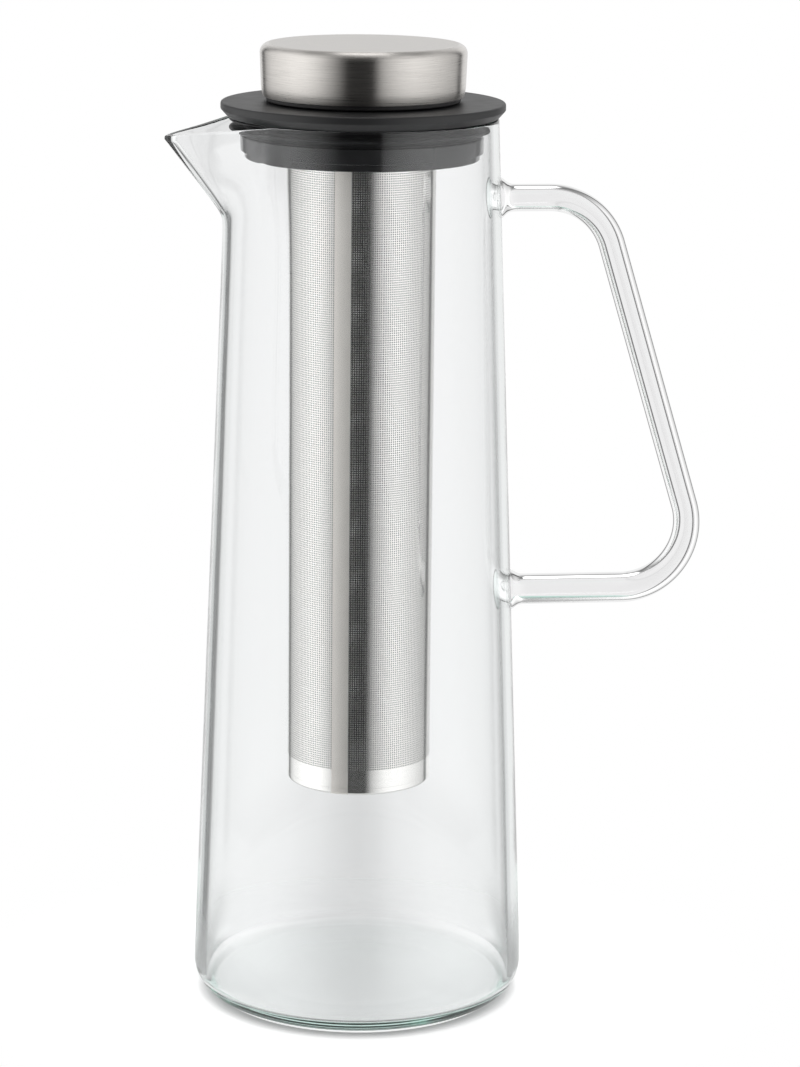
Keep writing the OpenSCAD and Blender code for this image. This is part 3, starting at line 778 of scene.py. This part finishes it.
def makeCamera():
    # stands away from the jug's axis at the turn's azimuth, looks down by pitch, with a little yaw and roll
    v = viewSize
    forward = Vector((math.sin(v["yaw"]) * math.cos(v["pitch"]), math.cos(v["yaw"]) * math.cos(v["pitch"]),
                      -math.sin(v["pitch"])))
    right = Vector((math.cos(v["yaw"]), -math.sin(v["yaw"]), 0))
    up = right.cross(forward)
    c, s = math.cos(v["roll"]), math.sin(v["roll"])
    right, up = c * right + s * up, c * up - s * right
    pose = Matrix((right, up, -forward)).transposed().to_4x4()
    pose.translation = Vector((0, -v["away"], v["height"]))
    camera = bpy.data.objects.new("camera", bpy.data.cameras.new("camera"))
    camera.data.sensor_fit = "VERTICAL"
    camera.data.sensor_height = v["sensor"]
    camera.data.lens = v["focal"] / v["frameHeight"] * v["sensor"]
    camera.data.clip_start = v["nearClip"]
    camera.matrix_world = Matrix.Rotation(v["turn"], 4, "Z") @ pose
    bpy.context.scene.collection.objects.link(camera)
    bpy.context.scene.camera = camera


# levels: degrees round from the camera's own direction, and the brightness there
studio = dict(levels=((-180, 0.76), (-178.3, 0.87), (-157, 0.87), (-152, 0.12), (-146, 0.12), (-140, 0.65),
                      (-126, 0.95), (-105, 1.20), (-85, 1.40), (-68, 1.34), (-53, 1.05), (-39, 0.62),
                      (-25, 0.20), (-18, 0.03), (11, 0.03), (16, 0.27), (20, 0.55), (25, 0.72), (31, 0.88),
                      (42, 1.10), (57, 1.24), (72, 1.18), (90, 1.00), (112, 0.76), (129, 0.58), (133, 0.10),
                      (139, 0.10), (145, 0.87), (178.3, 0.87), (180, 0.76)),
              brightest=1.5, gapTop=0.6, gapEase=0.2, overGap=0.5, topFrom=0.5, topTo=0.9, topLevel=0.35,
              lampAway=0.27, lampR=0.30, lampCore=0.5, lampLevel=2.6,
              clearLevel=0.76, gapFrom=-0.6, bothWalls=2.5)


def makeWorld():
    # white for the camera; round the object a pale backdrop behind, a large soft light on either side that
    # fades towards its edges, and a dark gap where the camera stands; darker overhead, apart from a soft
    # lamp a little behind the object
    s = studio
    world = bpy.data.worlds.new("studio")
    bpy.context.scene.world = world
    world.use_nodes = True
    tree = world.node_tree
    back = findNode(tree, "BACKGROUND")
    _, x, y, z = splitPlace(tree, "Generated")
    right, away = turnedAxes(tree, x, y, viewSize["turn"])
    turn = mathNode(tree, "ARCTAN2", right, mathNode(tree, "MULTIPLY", away, -1.0))
    ramp = tree.nodes.new("ShaderNodeValToRGB")
    stops = ramp.color_ramp.elements
    for index, (degrees, level) in enumerate(s["levels"]):
        stop = stops[index] if index < 2 else stops.new(1.0)
        stop.position = degrees / 360 + 0.5
        stop.color = (*[level / s["brightest"]] * 3, 1)
    tree.links.new(mathNode(tree, "ADD", mathNode(tree, "DIVIDE", turn, 2 * math.pi), 0.5), ramp.inputs[0])
    top = softRange(tree, z, s["topFrom"], s["topTo"], s["brightest"], s["brightest"] * s["topLevel"])
    lift = softRange(tree, z, s["gapTop"], s["gapTop"] + s["gapEase"], 0.0, s["overGap"] / s["brightest"])
    level = mathNode(tree, "MULTIPLY", mathNode(tree, "MAXIMUM", ramp.outputs[0], lift), top)
    # the lamp overhead is round, seen from below
    reach = lengthNode(tree, right, mathNode(tree, "SUBTRACT", away, s["lampAway"]))
    lamp = softRange(tree, reach, s["lampR"], s["lampCore"] * s["lampR"], 0.0, s["lampLevel"])
    overhead = mathNode(tree, "GREATER_THAN", z, 0.0)
    level = mathNode(tree, "ADD", level, mathNode(tree, "MULTIPLY", lamp, overhead))
    # through both walls of the jug, without a reflection, the studio is pale all round, and so is the gap
    # through one wall or the rod
    path = tree.nodes.new("ShaderNodeLightPath")
    clear = mathNode(tree, "MAXIMUM",
                     mathNode(tree, "GREATER_THAN", path.outputs["Transmission Depth"], s["bothWalls"]),
                     mathNode(tree, "LESS_THAN", away, s["gapFrom"]))
    straight = mathNode(tree, "MULTIPLY", path.outputs["Is Transmission Ray"],
                        mathNode(tree, "LESS_THAN", path.outputs["Glossy Depth"], 0.5))
    clear = mathNode(tree, "MULTIPLY", mathNode(tree, "MULTIPLY", clear, straight), s["clearLevel"])
    shown = addNode(tree, "ShaderNodeMix", data_type="FLOAT")
    shown.inputs[3].default_value = 1.0
    tree.links.new(path.outputs["Is Camera Ray"], shown.inputs[0])
    tree.links.new(mathNode(tree, "MAXIMUM", level, clear), shown.inputs[2])
    tree.links.new(shown.outputs[0], back.inputs["Strength"])
    back.inputs["Color"].default_value = (1, 1, 1, 1)


# in metres
floorSize = dict(radius=0.13, sides=96, drop=0.0003, paint=0.55, rough=0.9, fadeFrom=0.5,
                 contact=0.0035, contactDark=0.96, footR=0.0458, footEase=0.0008, leeFrom=-0.03, leeTo=0.015,
                 seen=0.76, mirrored=0.60, shade=0.77, shadeR=0.045, edgeR=0.052, edgeEase=0.012,
                 edgeLevel=0.2, backFrom=-0.046, backTo=-0.058, backLevel=0.84)


def makeFloor():
    # a small round table top: the object's real shadow falls on its paint, and it glows so that the camera,
    # glass and metal see it near white, with painted shadows darkening that glow
    s = floorSize
    sides = s["sides"]
    angle = np.linspace(0, 2 * math.pi, sides, endpoint=False)
    points = np.stack([s["radius"] * np.cos(angle), s["radius"] * np.sin(angle),
                       np.full(sides, -s["drop"])], axis=1)
    points = np.concatenate([points, [[0, 0, -s["drop"]]]])
    here = np.arange(sides)
    floor = putMesh("floor", points, [], np.stack([here, (here + 1) % sides, np.full(sides, sides)], axis=1))
    material, tree, shader = newMaterial("paleFloor")
    shader.inputs["Base Color"].default_value = (*[s["paint"]] * 3, 1)
    shader.inputs["Roughness"].default_value = s["rough"]
    shader.inputs["Specular IOR Level"].default_value = 0.0
    path = tree.nodes.new("ShaderNodeLightPath")
    mirrored = mathNode(tree, "MAXIMUM", path.outputs["Is Glossy Ray"], path.outputs["Is Transmission Ray"])
    place, x, y, _ = splitPlace(tree)
    right, away = turnedAxes(tree, x, y, viewSize["turn"])
    aside, ahead = mathNode(tree, "ABSOLUTE", right), mathNode(tree, "MULTIPLY", away, -1.0)
    reach = addNode(tree, "ShaderNodeVectorMath", operation="LENGTH")
    tree.links.new(place, reach.inputs[0])
    # painted shadow: the glow that glass and metal see is darker along a band in front of and behind the
    # infuser, where its soft shadow lies
    shade = softRange(tree, aside, 0.0, s["shadeR"], s["mirrored"] * s["shade"], s["mirrored"])
    # painted contact shadow: ambient occlusion darkens the glow where the jug stands, but only outside the
    # ring that its foot stands on
    near = addNode(tree, "ShaderNodeAmbientOcclusion", Distance=s["contact"])
    foot = softRange(tree, reach.outputs["Value"], s["footR"] - s["footEase"], s["footR"],
                     0.0, s["contactDark"])
    dark = mathNode(tree, "MULTIPLY", foot, mathNode(tree, "SUBTRACT", 1.0, near.outputs["AO"]))
    # for the camera the floor glows near white, less where the painted contact shadow lies
    seen = mathNode(tree, "MULTIPLY", path.outputs["Is Camera Ray"],
                    mathNode(tree, "MULTIPLY", mathNode(tree, "SUBTRACT", 1.0, dark), s["seen"]))
    # painted shade: through the glass the painted contact shadow shows on the side away from the light, and
    # the glow is painted darker beside the jug and a little darker behind it
    lee = softRange(tree, ahead, s["leeFrom"], s["leeTo"])
    edge = softRange(tree, aside, s["edgeR"], s["edgeR"] + s["edgeEase"], 1.0, s["edgeLevel"])
    back = softRange(tree, ahead, s["backTo"], s["backFrom"], s["backLevel"])
    shaded = mathNode(tree, "MULTIPLY", mathNode(tree, "MULTIPLY", edge, back),
                      mathNode(tree, "SUBTRACT", 1.0, mathNode(tree, "MULTIPLY", dark, lee)))
    glow = mathNode(tree, "MULTIPLY", mirrored, mathNode(tree, "MULTIPLY", shade, shaded))
    shader.inputs["Emission Color"].default_value = (1, 1, 1, 1)
    tree.links.new(mathNode(tree, "ADD", seen, glow), shader.inputs["Emission Strength"])
    # its edge fades away
    fade = softRange(tree, reach.outputs["Value"], s["radius"] * s["fadeFrom"], s["radius"], 1.0, 0.0)
    tree.links.new(fade, shader.inputs["Alpha"])
    floor.data.materials.append(material)


# light goes in and out of the thick foot and rod many times
bpy.context.scene.cycles.max_bounces = 32
bpy.context.scene.cycles.glossy_bounces = 24
bpy.context.scene.cycles.transmission_bounces = 32
makeCamera()
makeWorld()
makeFloor()
bpy.context.scene.view_settings.view_transform = "Standard"
print("studio ready")
